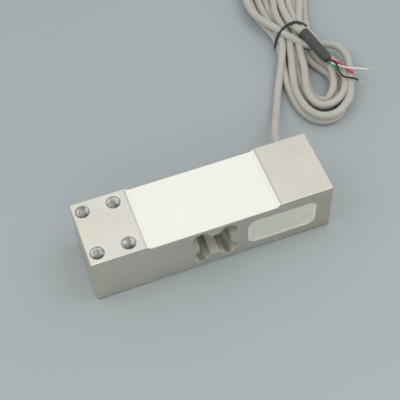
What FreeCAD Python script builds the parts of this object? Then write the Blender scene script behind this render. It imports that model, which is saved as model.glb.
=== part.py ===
"""Single point load cell: an aluminium bending beam with bonded strain gauges, a potted
side pocket that holds the bridge board, and a cable wound into a tied hank.

Millimetres. The origin is at the middle of the beam's underside. +X runs along the beam
from the load end to the fixed end, +Y to the side where the cable leaves, +Z up.
"""

import os
from math import cos, pi, radians, sin, tan

import FreeCAD
import Part

V = FreeCAD.Vector
os.makedirs("parts", exist_ok=True)

# %% Driving dimensions

# Beam
BEAM_LENGTH = 150.0
BEAM_WIDTH = 44.0
BEAM_HEIGHT = 39.2
EDGE_BREAK = 0.3

# Recesses milled across the top and the underside, for the gauges and their sealing coat
RECESS_LENGTH = 83.5
RECESS_DEPTH = 2.6
RAMP_ANGLE = 45.0

# Measuring window: four relief bores joined by a milled opening
WEB_THICKNESS = 2.6
RELIEF_RADIUS = 5.5
RELIEF_PITCH = 17.0
WINDOW_LENGTH = 20.0
WINDOW_HEIGHT = 19.2
WINDOW_CORNER = 1.0

# Mounting threads, modelled at the thread's outside diameter
THREAD_RADIUS = 4.0
THREAD_CHAMFER = 0.5
THREAD_PITCH_X = 19.0
THREAD_PITCH_Y = 30.2
THREAD_INSET = 5.8
LOAD_THREAD_DEPTH = 18.0
DRILL_POINT_ANGLE = 118.0
POCKET_FLOOR_WALL = 1.4

# Potted pocket in the front side
POCKET_LENGTH = 44.0
POCKET_HEIGHT = 22.3
POCKET_DEPTH = 12.0
POCKET_CORNER = 5.5
POCKET_INSET = 10.0
POCKET_DROP = 0.45
POTTING_SINK = 0.1
POTTING_DISH = 0.3
POTTING_RIM = 0.9
POTTING_SLOPE = 1.6

# Ducts that lead the gauge wires from the recesses into the pocket
DUCT_RADIUS = 1.8
DUCT_INSET = 5.15
DUCT_SETBACK = 5.6

# Strain gauges and their terminals
BACKING_LENGTH = 11.0
BACKING_WIDTH = 5.2
BACKING_THICKNESS = 0.1
FOIL_THICKNESS = 0.05
GRID_LENGTH = 5.0
GRID_STRIPS = 6
GRID_STRIP_WIDTH = 0.3
GRID_GAP = 0.3
TAB_LENGTH = 1.4
TAB_WIDTH = 1.3
TAB_MARGIN = 0.3
TERMINAL_GAP = 0.4
PAD_WIDTH = 1.2
PAD_GAP = 0.8
LINK_WIDTH = 0.4
LINK_THICKNESS = 0.1
FLEX_WIDTH = 2.4
FLEX_BEND = 0.8
FLEX_LAP = 2.0

# Sealing coats
COAT_THICKNESS = 0.5
COAT_CLIMB = 1.9
COAT_FEATHER = 0.35
COAT_EDGE = 0.4
COAT_HOLLOW = 1.5

# Bridge board
BOARD_LENGTH = 28.0
BOARD_HEIGHT = 14.0
BOARD_THICKNESS = 1.0
BOARD_SHIFT = 5.0
PAD_THICKNESS = 0.1
CORE_PAD = 2.2
RESISTOR_LENGTH = 3.2
RESISTOR_WIDTH = 1.6
RESISTOR_HEIGHT = 0.6
RESISTOR_SPACING = 4.2
RESISTOR_COUNT = 4

# Cable and its entry in the back side
CABLE_RADIUS = 2.5
CABLE_INSET = 3.2
CABLE_CLEARANCE = 0.2
SEAL_RADIUS = 4.5
SEAL_DEPTH = 5.0
SEAL_LIP = 0.6
JACKET_INTO_POCKET = 2.0
CORE_RADIUS = 0.65
CORE_GAP = 0.1
CORE_RUN = 2.2
CORE_STAGGER = 1.7
CORE_SPREAD = 2.6
CORE_LIFT = 0.3
CORE_PAD_MARGIN = 0.4

# Hank and tie
HANK_THICKNESS = 10.0
HANK_EDGE = 2.0
SHOULDER_MARGIN = 0.5
WAIST_X = 114.3
WAIST_Y = 128.5
WAIST_TURN = 6.8
WAIST_REACH = 4.5
WAIST_CORNER = 5.0
WAIST_RISE = 4.25
TIE_INNER_WIDTH = 28.6
TIE_INNER_HEIGHT = 15.0
TIE_LEAN = 30.0
TIE_THICKNESS = 0.9
TIE_WIDTH = 2.2
TIE_GROOVE = 7.5

# Heat-shrink sleeve and the stripped wires
SLEEVE_WALL = 0.85
SLEEVE_CLEARANCE = 0.05
SLEEVE_NECK = 6.0
SLEEVE_TAPER = 2.0
TAIL_RUN_IN = 8.0
NECK_CLEARANCE = 0.25
WIRE_STRAIGHT = 0.5
TIP_RADIUS = 0.45
TIP_LENGTH = 3.5

# %% Derived sizes

MID_Z = BEAM_HEIGHT / 2
FRONT = -BEAM_WIDTH / 2
BACK = BEAM_WIDTH / 2
FLOOR_Z = BEAM_HEIGHT - RECESS_DEPTH
RAMP_RUN = RECESS_DEPTH / tan(radians(RAMP_ANGLE))
FLOOR_HALF = RECESS_LENGTH / 2 - RAMP_RUN
RELIEF_X = RELIEF_PITCH / 2
RELIEF_RISE = FLOOR_Z - WEB_THICKNESS - RELIEF_RADIUS - MID_Z
POCKET_END = BEAM_LENGTH / 2 - POCKET_INSET
POCKET_CENTRE_X = POCKET_END - POCKET_LENGTH / 2
POCKET_Z = MID_Z - POCKET_DROP
POCKET_BACK = FRONT + POCKET_DEPTH
DUCT_X = FLOOR_HALF - DUCT_INSET
DUCT_Y = FRONT + DUCT_SETBACK
BOARD_X = POCKET_CENTRE_X - BOARD_SHIFT
CABLE_X = POCKET_END - CABLE_INSET
BOARD_FACE = POCKET_BACK - BOARD_THICKNESS
PAD_FACE = BOARD_FACE - PAD_THICKNESS
JACKET_END = POCKET_BACK - JACKET_INTO_POCKET
CORE_OFFSET = CORE_RADIUS + CORE_GAP / 2
FIXED_THREAD_DEPTH = POCKET_Z - POCKET_HEIGHT / 2 - POCKET_FLOOR_WALL
FAR = 2 * BEAM_LENGTH

# %% Shared shapes


def cylinder(start, direction, radius, length):
    """A round bar from a start point along a direction."""
    return Part.makeCylinder(radius, length, start, direction)


def block(x0, x1, y0, y1, z0, z1):
    """A rectangular block between its low and high corners."""
    return Part.makeBox(x1 - x0, y1 - y0, z1 - z0, V(x0, y0, z0))


def mirrored(shape):
    """The same shape on the underside of the beam."""
    return shape.mirror(V(0, 0, MID_Z), V(0, 0, 1))


def rounded_outline(corners, radii):
    """A closed outline with straight sides and each corner rounded by its own radius."""
    edges = []
    count = len(corners)
    starts, ends, middles = [], [], []
    for i in range(count):
        before, corner, after = corners[i - 1], corners[i], corners[(i + 1) % count]
        into = (corner - before).normalize()
        out = (after - corner).normalize()
        half_turn = into.getAngle(out) / 2
        reach = radii[i] * tan(half_turn)
        inward = (out - into).normalize()
        starts.append(corner - into * reach)
        ends.append(corner + out * reach)
        middles.append(corner + inward * (radii[i] / cos(half_turn) - radii[i]))
    for i in range(count):
        edges.append(Part.Arc(starts[i], middles[i], ends[i]).toShape())
        edges.append(Part.LineSegment(ends[i], starts[(i + 1) % count]).toShape())
    return Part.Wire(edges)


def side_outline(centre_x, centre_z, length, height, corner, y):
    """A rounded rectangle that faces the front side, at one depth."""
    x0, x1 = centre_x - length / 2, centre_x + length / 2
    z0, z1 = centre_z - height / 2, centre_z + height / 2
    corners = [V(x0, y, z0), V(x1, y, z0), V(x1, y, z1), V(x0, y, z1)]
    return rounded_outline(corners, [corner] * 4)


def bent_path(points, bend=None):
    """Straight runs joined by tangent arcs, as edges, with the arcs' radii.

    With no bend radius given, each arc is as large as its two runs allow.
    """
    edges, radii = [], []
    here = points[0]
    for before, corner, after in zip(points, points[1:], points[2:]):
        into = (corner - before).normalize()
        out = (after - corner).normalize()
        half_turn = into.getAngle(out) / 2
        shorter = min((corner - before).Length, (after - corner).Length)
        radius = bend or 0.45 * shorter / tan(half_turn)
        reach = radius * tan(half_turn)
        inward = (out - into).normalize()
        arc_start = corner - into * reach
        arc_middle = corner + inward * (radius / cos(half_turn) - radius)
        arc_end = corner + out * reach
        edges.append(Part.LineSegment(here, arc_start).toShape())
        edges.append(Part.Arc(arc_start, arc_middle, arc_end).toShape())
        radii.append(radius)
        here = arc_end
    edges.append(Part.LineSegment(here, points[-1]).toShape())
    return edges, radii


def tube(points, radius, bend=None):
    """A round bar that follows straight runs and arcs."""
    if len(points) == 2:
        along = points[1] - points[0]
        return cylinder(points[0], along, radius, along.Length)
    edges, _ = bent_path(points, bend)
    section = Part.Wire(Part.makeCircle(radius, points[0], points[1] - points[0]))
    return Part.Wire(edges).makePipeShell([section], True, False)


def mitred_bar(points, radius):
    """A round bar that follows straight runs with a sharp turn at each point."""
    section = Part.Wire(Part.makeCircle(radius, points[0], points[1] - points[0]))
    return Part.makePolygon(points).makePipeShell([section], True, False, 1)


nodes = {}

# %% Beam


def window_cutter():
    """Four relief bores and the opening between them, through the beam from side to side."""
    reach = BEAM_WIDTH + 2
    cutter = block(
        -WINDOW_LENGTH / 2,
        WINDOW_LENGTH / 2,
        FRONT - 1,
        FRONT - 1 + reach,
        MID_Z - WINDOW_HEIGHT / 2,
        MID_Z + WINDOW_HEIGHT / 2,
    )
    centres = [
        V(x, FRONT - 1, MID_Z + z)
        for x in (-RELIEF_X, RELIEF_X)
        for z in (-RELIEF_RISE, RELIEF_RISE)
    ]
    bores = [cylinder(c, V(0, 1, 0), RELIEF_RADIUS, reach) for c in centres]
    cutter = cutter.fuse(bores).removeSplitter()

    def is_corner(edge):
        """The edges along Y where a bore meets a flat of the opening."""
        if edge.Length < reach - 0.1 or edge.Curve.TypeId != "Part::GeomLine":
            return False
        point = edge.Vertexes[0].Point
        on_side = abs(abs(point.x) - WINDOW_LENGTH / 2) < 0.01
        on_top = abs(abs(point.z - MID_Z) - WINDOW_HEIGHT / 2) < 0.01
        return on_side or on_top

    return cutter.makeFillet(WINDOW_CORNER, [e for e in cutter.Edges if is_corner(e)])


def recess_cutter():
    """The milled recess across the top, with a ramp at each end."""
    top_half = FLOOR_HALF + RAMP_RUN
    profile = [
        V(-FLOOR_HALF, FRONT - 1, FLOOR_Z),
        V(FLOOR_HALF, FRONT - 1, FLOOR_Z),
        V(top_half, FRONT - 1, BEAM_HEIGHT),
        V(top_half, FRONT - 1, BEAM_HEIGHT + 1),
        V(-top_half, FRONT - 1, BEAM_HEIGHT + 1),
        V(-top_half, FRONT - 1, BEAM_HEIGHT),
    ]
    face = Part.Face(Part.makePolygon(profile + profile[:1]))
    return face.extrude(V(0, BEAM_WIDTH + 2, 0))


def thread_hole(x, y, z, down, depth, drill_point):
    """A chamfered mounting hole from a face at height z, with or without a drill point."""
    into = V(0, 0, -1 if down else 1)
    mouth = V(x, y, z)
    hole = cylinder(mouth, into, THREAD_RADIUS, depth)
    chamfer = Part.makeCone(
        THREAD_RADIUS + THREAD_CHAMFER, THREAD_RADIUS, THREAD_CHAMFER, mouth, into
    )
    hole = hole.fuse(chamfer)
    if drill_point:
        point_depth = THREAD_RADIUS / tan(radians(DRILL_POINT_ANGLE / 2))
        tip = Part.makeCone(THREAD_RADIUS, 0, point_depth, mouth + into * depth, into)
        hole = hole.fuse(tip)
    return hole


def thread_places(end):
    """The four hole places at one end; end is -1 at the load end, 1 at the fixed end."""
    outer = BEAM_LENGTH / 2 - THREAD_INSET
    for x in (outer, outer - THREAD_PITCH_X):
        for y in (-THREAD_PITCH_Y / 2, THREAD_PITCH_Y / 2):
            yield end * x, y


def make_beam():
    """The machined aluminium beam."""
    beam = block(-BEAM_LENGTH / 2, BEAM_LENGTH / 2, FRONT, BACK, 0, BEAM_HEIGHT)
    beam = beam.makeChamfer(EDGE_BREAK, beam.Edges)
    recess = recess_cutter()
    pocket = Part.Face(
        side_outline(
            POCKET_CENTRE_X, POCKET_Z, POCKET_LENGTH, POCKET_HEIGHT, POCKET_CORNER, FRONT - 1
        )
    ).extrude(V(0, POCKET_DEPTH + 1, 0))
    duct = cylinder(V(DUCT_X, DUCT_Y, 0), V(0, 0, 1), DUCT_RADIUS, BEAM_HEIGHT)
    cable_bore = cylinder(
        V(CABLE_X, POCKET_BACK - 1, MID_Z), V(0, 1, 0), CABLE_RADIUS + CABLE_CLEARANCE, FAR
    )
    seal_bore = cylinder(V(CABLE_X, BACK - SEAL_DEPTH, MID_Z), V(0, 1, 0), SEAL_RADIUS, FAR)
    load_holes = [
        thread_hole(x, y, BEAM_HEIGHT, True, LOAD_THREAD_DEPTH, True)
        for x, y in thread_places(-1)
    ]
    fixed_holes = [
        thread_hole(x, y, 0, False, FIXED_THREAD_DEPTH, False) for x, y in thread_places(1)
    ]
    cuts = [recess, mirrored(recess), window_cutter(), pocket, duct, cable_bore, seal_bore]
    for cut in cuts + load_holes + fixed_holes:
        beam = beam.cut(cut)
    return beam.removeSplitter()


nodes["beam_body"] = make_beam()

# %% Strain gauges, terminals and wires on the top recess floor

BACKING_TOP = FLOOR_Z + BACKING_THICKNESS
FOIL_TOP = BACKING_TOP + FOIL_THICKNESS
BACKING_INNER = RELIEF_X - BACKING_LENGTH / 2
TAB_Y = BACKING_WIDTH / 2 - TAB_MARGIN - TAB_WIDTH / 2
TERMINAL_HALF = BACKING_INNER - TERMINAL_GAP
PAD_OUTER = TERMINAL_HALF - TAB_MARGIN


def film(x0, x1, y0, y1):
    """A patch of carrier film on the recess floor."""
    return block(x0, x1, y0, y1, FLOOR_Z, BACKING_TOP)


def foil(x0, x1, y0, y1):
    """A patch of foil on top of the carrier film."""
    return block(min(x0, x1), max(x0, x1), min(y0, y1), max(y0, y1), BACKING_TOP, FOIL_TOP)


def gauge_backing(side):
    """The gauge's carrier film, over the thin web at one side of the window."""
    x, half = side * RELIEF_X, BACKING_LENGTH / 2
    return film(x - half, x + half, -BACKING_WIDTH / 2, BACKING_WIDTH / 2)


def gauge_grid(side):
    """The etched foil: strips that fold to and fro along the beam, and two solder tabs."""
    ends = [side * (RELIEF_X + GRID_LENGTH / 2), side * (RELIEF_X - GRID_LENGTH / 2)]
    pitch = GRID_STRIP_WIDTH + GRID_GAP
    half = GRID_STRIP_WIDTH / 2
    rows = [pitch * (i - (GRID_STRIPS - 1) / 2) for i in range(GRID_STRIPS)]
    patches = [foil(ends[0], ends[1], y - half, y + half) for y in rows]
    for i, (y, after) in enumerate(zip(rows, rows[1:])):
        x = ends[i % 2]
        inward = side * GRID_STRIP_WIDTH * (-1 if i % 2 == 0 else 1)
        patches.append(foil(x, x + inward, y - half, after + half))
    tab_x = side * (BACKING_INNER + TAB_MARGIN)
    neck_x = tab_x + side * TAB_LENGTH
    for y, row in ((-TAB_Y, rows[0]), (TAB_Y, rows[-1])):
        patches.append(foil(tab_x, neck_x, y - TAB_WIDTH / 2, y + TAB_WIDTH / 2))
        patches.append(foil(neck_x, ends[1], row - half, row + half))
    return patches[0].fuse(patches[1:]).removeSplitter()


def terminal_pads():
    """Two copper pads for the live leads, and a long one that joins the two gauges."""
    low, high = TAB_Y - PAD_WIDTH / 2, TAB_Y + PAD_WIDTH / 2
    pads = [
        foil(-PAD_OUTER, -PAD_GAP / 2, -high, -low),
        foil(PAD_GAP / 2, PAD_OUTER, -high, -low),
        foil(-PAD_OUTER, PAD_OUTER, low, high),
    ]
    return Part.makeCompound(pads)


def gauge_links():
    """Four flat links from the gauges' tabs to the terminal pads."""
    start, end = BACKING_INNER + TAB_MARGIN + TAB_LENGTH / 2, (PAD_OUTER + PAD_GAP / 2) / 2
    links = []
    for x0, x1 in ((-start, -end), (end, start)):
        for y in (-TAB_Y, TAB_Y):
            low, high = y - LINK_WIDTH / 2, y + LINK_WIDTH / 2
            links.append(block(x0, x1, low, high, FOIL_TOP, FOIL_TOP + LINK_THICKNESS))
    return Part.makeCompound(links)


def gauge_flex():
    """A printed film strip: terminals between the gauges, a run to the duct, and down it."""
    half, thick = FLEX_WIDTH / 2, BACKING_THICKNESS
    bend_x = DUCT_X - thick / 2 - FLEX_BEND
    bend_z = BACKING_TOP - thick - FLEX_BEND
    board_top = MID_Z + BOARD_HEIGHT / 2
    terminal = film(-TERMINAL_HALF, TERMINAL_HALF, -BACKING_WIDTH / 2, BACKING_WIDTH / 2)
    across = film(-half, half, DUCT_Y - half, 0)
    along_beam = film(-half, bend_x, DUCT_Y - half, DUCT_Y + half)
    bend = cylinder(V(bend_x, DUCT_Y - half, bend_z), V(0, 1, 0), FLEX_BEND + thick, FLEX_WIDTH)
    bend = bend.cut(cylinder(V(bend_x, DUCT_Y - half, bend_z), V(0, 1, 0), FLEX_BEND, FLEX_WIDTH))
    bend = bend.common(block(bend_x, DUCT_X + 1, FRONT, 0, bend_z, BACKING_TOP))
    x0, x1 = DUCT_X - thick / 2, DUCT_X + thick / 2
    down = block(x0, x1, DUCT_Y - half, DUCT_Y + half, board_top - FLEX_LAP, bend_z)
    foot = block(x0, x1, DUCT_Y - half, BOARD_FACE, board_top - FLEX_LAP, board_top)
    return terminal.fuse([across, along_beam, bend, down, foot]).removeSplitter()


def sealing_coat(buried):
    """White sealant on the recess floor and part of the way up its ramps, less what it buries."""
    climb_x, climb_z = FLOOR_HALF + COAT_CLIMB, FLOOR_Z + COAT_CLIMB
    half = [
        V(FLOOR_HALF, FRONT, FLOOR_Z),
        V(climb_x, FRONT, climb_z),
        V(climb_x - 2 * COAT_FEATHER, FRONT, climb_z - COAT_FEATHER / 2),
        V(FLOOR_HALF - COAT_FEATHER, FRONT, FLOOR_Z + COAT_THICKNESS),
    ]
    other_half = [V(-p.x, p.y, p.z) for p in reversed(half)]
    coat = Part.Face(Part.makePolygon(half + other_half + half[:1]))
    coat = coat.extrude(V(0, BEAM_WIDTH, 0))
    hollow, rims = [], []
    for edge in coat.Edges:
        low, high = (v.Point for v in edge.Vertexes)
        at_fold = abs(abs(low.x) - FLOOR_HALF + COAT_FEATHER) < 0.01
        if at_fold and abs(high.y - low.y) > 1:
            hollow.append(edge)
    coat = coat.makeFillet(COAT_HOLLOW, hollow)
    for edge in coat.Edges:
        box = edge.BoundBox
        on_top = abs(box.ZMin - FLOOR_Z - COAT_THICKNESS) < 0.01 and box.ZLength < 0.01
        if on_top and box.YLength < 0.01 and box.XLength > 1:
            rims.append(edge)
    coat = coat.makeFillet(COAT_EDGE, rims)
    return coat.cut(buried)


on_top = {
    "gauge_backing_{face}_load_side": gauge_backing(-1),
    "gauge_backing_{face}_fixed_side": gauge_backing(1),
    "gauge_grid_{face}_load_side": gauge_grid(-1),
    "gauge_grid_{face}_fixed_side": gauge_grid(1),
    "gauge_flex_{face}": gauge_flex(),
    "terminal_pads_{face}": terminal_pads(),
    "gauge_links_{face}": gauge_links(),
}
on_top["sealing_coat_{face}"] = sealing_coat(list(on_top.values()))
for name, shape in on_top.items():
    nodes[name.format(face="top")] = shape
    nodes[name.format(face="bottom")] = mirrored(shape)

# %% Cable end, board and potting in the side pocket


def core_positions():
    """Name and offset across the cable's section of each of the four cores."""
    for name, across, up in (
        ("red", 1, 1),
        ("white", 1, -1),
        ("black", -1, 1),
        ("green", -1, -1),
    ):
        yield name, across * CORE_OFFSET, up * CORE_OFFSET


def board_cores():
    """The cores from the jacket's end to their pads at the board's near end."""
    cores, pads = {}, []
    pad_x = BOARD_X + BOARD_LENGTH / 2 - CORE_PAD / 2 - CORE_PAD_MARGIN
    far_level = BOARD_HEIGHT / 2 - CORE_PAD / 2 - CORE_PAD_MARGIN
    near_level = far_level - CORE_PAD - 3 * CORE_PAD_MARGIN
    for name, across, up in core_positions():
        level = MID_Z + (far_level if across < 0 else near_level) * (1 if up > 0 else -1)
        turn_x = CABLE_X + across - CORE_SPREAD
        turn_y = JACKET_END - CORE_RUN - CORE_STAGGER * (1 if across > 0 else -1)
        low = MID_Z + up
        route = [
            V(CABLE_X + across, JACKET_END, low),
            V(CABLE_X + across, turn_y, low),
            V(turn_x, turn_y - CORE_SPREAD / 2, low + CORE_LIFT * (level - low)),
            V(pad_x, PAD_FACE - CORE_RADIUS, level),
        ]
        pad = block(
            pad_x - CORE_PAD / 2,
            pad_x + CORE_PAD / 2,
            PAD_FACE,
            BOARD_FACE,
            level - CORE_PAD / 2,
            level + CORE_PAD / 2,
        )
        cores[name] = mitred_bar(route, CORE_RADIUS)
        pads.append(pad)
    return cores, pads


def resistors():
    """A row of chip resistors along the middle of the board."""
    chips = []
    first = BOARD_X - RESISTOR_SPACING * (RESISTOR_COUNT - 1) / 2 - CORE_PAD
    for i in range(RESISTOR_COUNT):
        x = first + RESISTOR_SPACING * i
        chip = block(
            x - RESISTOR_LENGTH / 2,
            x + RESISTOR_LENGTH / 2,
            BOARD_FACE - RESISTOR_HEIGHT,
            BOARD_FACE,
            MID_Z - RESISTOR_WIDTH / 2,
            MID_Z + RESISTOR_WIDTH / 2,
        )
        chips.append(chip)
    return Part.makeCompound(chips)


def pocket_potting(buried):
    """Translucent silicone that fills the pocket and the ducts, dished a little in front."""
    face_y = FRONT + POTTING_SINK

    def outline(inset, y):
        return side_outline(
            POCKET_CENTRE_X,
            POCKET_Z,
            POCKET_LENGTH - 2 * inset,
            POCKET_HEIGHT - 2 * inset,
            POCKET_CORNER - inset,
            y,
        )

    potting = Part.Face(outline(0, face_y)).extrude(V(0, POCKET_BACK - face_y, 0))
    dish = Part.makeLoft(
        [outline(POTTING_RIM, face_y), outline(POTTING_RIM + POTTING_SLOPE, face_y + POTTING_DISH)],
        True,
    )
    duct_fill = cylinder(
        V(DUCT_X, DUCT_Y, RECESS_DEPTH), V(0, 0, 1), DUCT_RADIUS, FLOOR_Z - RECESS_DEPTH
    )
    return potting.fuse(duct_fill).cut([dish] + buried).removeSplitter()


def cable_seal():
    """A moulded bush in the counterbore round the cable, with a low tapered lip outside."""
    profile = [
        V(CABLE_RADIUS, BACK - SEAL_DEPTH, 0),
        V(SEAL_RADIUS, BACK - SEAL_DEPTH, 0),
        V(SEAL_RADIUS, BACK, 0),
        V(CABLE_RADIUS + SEAL_LIP, BACK + SEAL_LIP, 0),
        V(CABLE_RADIUS, BACK + SEAL_LIP, 0),
    ]
    face = Part.Face(Part.makePolygon(profile + profile[:1]))
    bush = face.revolve(V(0, 0, 0), V(0, 1, 0), 360)
    bush.translate(V(CABLE_X, 0, MID_Z))
    return bush


cores, core_pads = board_cores()
nodes["bridge_board"] = block(
    BOARD_X - BOARD_LENGTH / 2,
    BOARD_X + BOARD_LENGTH / 2,
    BOARD_FACE,
    POCKET_BACK,
    MID_Z - BOARD_HEIGHT / 2,
    MID_Z + BOARD_HEIGHT / 2,
)
nodes["board_pads"] = Part.makeCompound(core_pads)
nodes["board_resistors"] = resistors()
for name, core in cores.items():
    nodes["board_core_" + name] = core
nodes["cable_jacket_end"] = cylinder(
    V(CABLE_X, JACKET_END, MID_Z), V(0, 1, 0), CABLE_RADIUS, BACK - JACKET_END
)
in_pocket = ["bridge_board", "board_pads", "board_resistors", "cable_jacket_end"]
in_pocket += ["gauge_flex_top", "gauge_flex_bottom"]
in_pocket += ["board_core_" + name for name in cores]
nodes["pocket_potting"] = pocket_potting([nodes[name] for name in in_pocket])
nodes["cable_seal"] = cable_seal()

# %% Cable outside the beam

# The lead comes out of the back side, comes down to the bench and runs to the hank's waist.
LEAD_ROUTE = [
    V(CABLE_X, BACK, MID_Z),
    V(CABLE_X, 33.0, MID_Z),
    V(66.0, 45.5, 17.0),
    V(71.8, 57.5, 10.2),
    V(77.8, 70.0, 4.9),
    V(84.0, 83.0, 2.9),
    V(91.2, 97.0, 3.2),
    V(99.6, 113.0, 3.2),
]

# Corners of the hank seen from above, with the radius of each: from the shoulder that takes
# the lead, round the near loops, past the waist, round the far loops and back.
lead_end = LEAD_ROUTE[-1]
lead_heading = (lead_end - LEAD_ROUTE[-2]).normalize()
lead_side = V(lead_heading.y, -lead_heading.x, 0) * (CABLE_RADIUS + SHOULDER_MARGIN)
HANK_OUTLINE = [
    (lead_end.x + lead_side.x, lead_end.y + lead_side.y, 0.4),
    (90.3, 86.0, 12.0),
    (89.5, 47.0, 21.0),
    (127.0, 45.5, 22.0),
    (147.0, 88.0, 22.0),
    (144.5, 113.0, 9.0),
    (129.6, 119.5, 4.0),
    (129.5, 133.0, 8.0),
    (148.0, 183.0, 60.0),
    (167.0, 228.0, 22.0),
    (120.0, 243.0, 24.0),
    (91.0, 170.0, 24.0),
    (100.0, 134.0, 6.0),
    (99.5, 122.0, 6.0),
    (lead_end.x - lead_side.x, lead_end.y - lead_side.y, 2.6),
]
NEAR_LOOP = [(109.8, 72.0, 4.0), (120.2, 73.0, 4.0), (121.8, 86.0, 8.0), (115.8, 106.0, 2.0)]
FAR_LOOP = [(117.0, 184.0, 2.5), (128.0, 190.0, 8.0), (143.0, 212.0, 5.5), (132.0, 220.0, 5.5)]


def flat_ring(corners):
    """A slab of the hank's thickness with a rounded outline."""
    outline = rounded_outline([V(x, y, 0) for x, y, _ in corners], [r for _, _, r in corners])
    return Part.Face(outline).extrude(V(0, 0, HANK_THICKNESS))


def at_waist(shape):
    """A shape drawn about the origin, turned and moved to the middle of the hank's waist."""
    shape.rotate(V(0, 0, 0), V(0, 0, 1), WAIST_TURN)
    shape.translate(V(WAIST_X, WAIST_Y, 0))
    return shape


def tie_band(outer_margin, width):
    """A leaning band round the waist, from the tie's inner face out to a margin."""
    half_height = TIE_INNER_HEIGHT / 2 + TIE_THICKNESS
    lean = radians(TIE_LEAN)
    rise = half_height * cos(lean) + TIE_WIDTH / 2 * sin(lean)
    inner = side_outline(
        0, 0, TIE_INNER_WIDTH, TIE_INNER_HEIGHT, WAIST_CORNER, -width / 2
    )
    outer = side_outline(
        0,
        0,
        TIE_INNER_WIDTH + 2 * outer_margin,
        TIE_INNER_HEIGHT + 2 * outer_margin,
        WAIST_CORNER + outer_margin,
        -width / 2,
    )
    band = Part.Face(outer).extrude(V(0, width, 0)).cut(Part.Face(inner).extrude(V(0, width, 0)))
    band.rotate(V(0, 0, 0), V(1, 0, 0), -TIE_LEAN)
    band.translate(V(0, 0, rise))
    return at_waist(band)


def gathered_waist():
    """The heap of strands that the tie draws together, leaning as the tie does."""
    height = HANK_THICKNESS + WAIST_RISE
    shear = height * tan(radians(TIE_LEAN))
    reach = WAIST_REACH + TIE_INNER_HEIGHT / 2 * tan(radians(TIE_LEAN))
    half = TIE_INNER_WIDTH / 2
    profile = [
        V(-half, -reach, 0),
        V(-half, reach - shear, 0),
        V(-half, reach, height),
        V(-half, -reach + shear, height),
    ]
    heap = Part.Face(Part.makePolygon(profile + profile[:1])).extrude(V(2 * half, 0, 0))
    ridges = []
    for edge in heap.Edges:
        box = edge.BoundBox
        if abs(box.ZMin - height) < 0.01 and box.XLength < 0.01:
            ridges.append(edge)
    return at_waist(heap.makeFillet(WAIST_CORNER, ridges))


def make_hank():
    """The outer shape of the wound cable: a flat ring pinched at the tie."""
    ring = flat_ring(HANK_OUTLINE).cut(flat_ring(NEAR_LOOP)).cut(flat_ring(FAR_LOOP))
    rims = [e for e in ring.Edges if e.BoundBox.ZLength < 0.01]
    ring = ring.makeChamfer(HANK_EDGE, rims)
    tie_groove = tie_band(TIE_GROOVE, TIE_WIDTH)
    return ring.fuse(gathered_waist()).cut(tie_groove).removeSplitter()


lead_edges, lead_radii = bent_path(LEAD_ROUTE)
lead_length = sum(edge.Length for edge in lead_edges)
lead = tube(LEAD_ROUTE, CABLE_RADIUS)
print("cable lead: bend radii", [round(r, 1) for r in lead_radii], "length", round(lead_length, 1))
lead_section = pi * CABLE_RADIUS**2
print("  volume over section times length", round(lead.Volume / (lead_section * lead_length), 5))
nodes["cable_lead"] = lead
nodes["cable_hank"] = make_hank()
nodes["cable_tie"] = tie_band(TIE_THICKNESS, TIE_WIDTH)

# %% Sleeve and stripped wires at the cable's end

SLEEVE_START = V(119.2, 123.4, 13.6)
SLEEVE_END = V(126.5, 92.5, 13.45)

# Where each wire goes once it is out of the sleeve.
WIRE_ROUTES = {
    "red": [V(131.3, 88.3, 13.2), V(134.6, 84.2, 11.8), V(138.1, 79.0, 11.2)],
    "white": [
        V(130.4, 86.4, 12.8),
        V(136.3, 81.8, 13.5),
        V(143.0, 79.4, 12.2),
        V(149.4, 77.1, 10.7),
    ],
    "black": [
        V(128.3, 86.2, 14.0),
        V(128.2, 79.5, 13.2),
        V(134.0, 74.4, 12.0),
        V(138.8, 70.7, 11.3),
    ],
    "green": [V(127.3, 88.2, 12.3), V(128.6, 84.6, 11.7), V(129.3, 81.8, 11.4)],
}

along = (SLEEVE_END - SLEEVE_START).normalize()
aside = V(0, 0, 1).cross(along).normalize()
upright = along.cross(aside)
sleeve_length = (SLEEVE_END - SLEEVE_START).Length
jacket_stop = SLEEVE_END - along * SLEEVE_NECK
tail_start = SLEEVE_START - along * TAIL_RUN_IN


def heat_shrink_sleeve():
    """A sleeve shrunk on the cable's end, with a narrower neck where the wires come out."""
    bore = CABLE_RADIUS + SLEEVE_CLEARANCE
    neck = CORE_OFFSET * 2**0.5 + CORE_RADIUS + NECK_CLEARANCE
    neck_start = sleeve_length - SLEEVE_NECK
    profile = [
        V(bore, 0, 0),
        V(bore + SLEEVE_WALL, 0, 0),
        V(bore + SLEEVE_WALL, 0, neck_start),
        V(neck + SLEEVE_WALL, 0, neck_start + SLEEVE_TAPER),
        V(neck + SLEEVE_WALL, 0, sleeve_length),
        V(neck, 0, sleeve_length),
        V(neck, 0, neck_start),
        V(bore, 0, neck_start),
    ]
    sleeve = Part.Face(Part.makePolygon(profile + profile[:1])).revolve(V(0, 0, 0), V(0, 0, 1), 360)
    sleeve.Placement = FreeCAD.Placement(SLEEVE_START, FreeCAD.Rotation(V(0, 0, 1), along))
    return sleeve


tail = tube([tail_start, jacket_stop], CABLE_RADIUS)
nodes["cable_tail"] = tail.cut(nodes["cable_hank"])
nodes["heat_shrink_sleeve"] = heat_shrink_sleeve()
tips = []
for name, across, up in core_positions():
    place = aside * across + upright * up
    route = [jacket_stop + place, SLEEVE_END + along * WIRE_STRAIGHT + place] + WIRE_ROUTES[name]
    wire = tube(route, CORE_RADIUS)
    nodes["wire_end_" + name] = wire
    tips.append(cylinder(route[-1], route[-1] - route[-2], TIP_RADIUS, TIP_LENGTH))
nodes["wire_tips"] = Part.makeCompound(tips)

# %% One STEP file for each piece

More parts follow.
